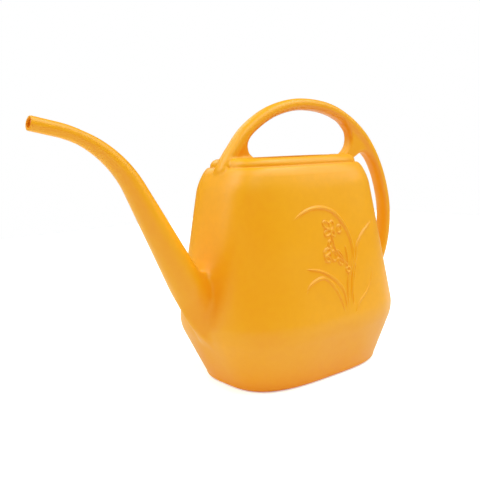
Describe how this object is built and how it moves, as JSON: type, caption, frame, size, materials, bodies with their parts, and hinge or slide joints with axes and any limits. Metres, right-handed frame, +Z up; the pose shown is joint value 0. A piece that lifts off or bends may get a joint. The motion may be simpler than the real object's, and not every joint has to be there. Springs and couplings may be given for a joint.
{
  "type": "watering can",
  "caption": "Hollow moulded watering can with an oval flared tank, open mouth, gooseneck spout and looped handle with a strap to the rear wall.",
  "frame": {"origin": "centre of the flat base, on the surface that the can stands on", "axes": "+Z up; +X towards the handle's rear strap, so the spout points along -X; +Y across the can, y = 0 is its plane of symmetry"},
  "size_m": [0.3297, 0.1206, 0.2131],
  "materials": {
    "tank_plastic": "semi-gloss moulded polyethylene, golden orange",
    "spout_plastic": "semi-gloss moulded polyethylene, golden orange",
    "handle_plastic": "semi-gloss moulded polyethylene, golden orange",
    "relief_plastic": "semi-gloss moulded polyethylene, golden orange, raised lines"
  },
  "bodies": {
    "root": {"base_panel": "tank_plastic", "lower_wall": "tank_plastic", "upper_wall": "tank_plastic", "shoulder": "tank_plastic", "mouth_collar": "tank_plastic", "spout_root": "spout_plastic", "spout_stem": "spout_plastic", "spout_gooseneck": "spout_plastic", "spout_nozzle": "spout_plastic", "handle_front_post": "handle_plastic", "handle_front_web": "handle_plastic", "handle_grip": "handle_plastic", "handle_rear_web": "handle_plastic", "handle_rear_strap": "handle_plastic", "handle_strap_foot": "handle_plastic", "flower_relief_left": "relief_plastic", "flower_relief_right": "relief_plastic"}
  },
  "joints": []
}
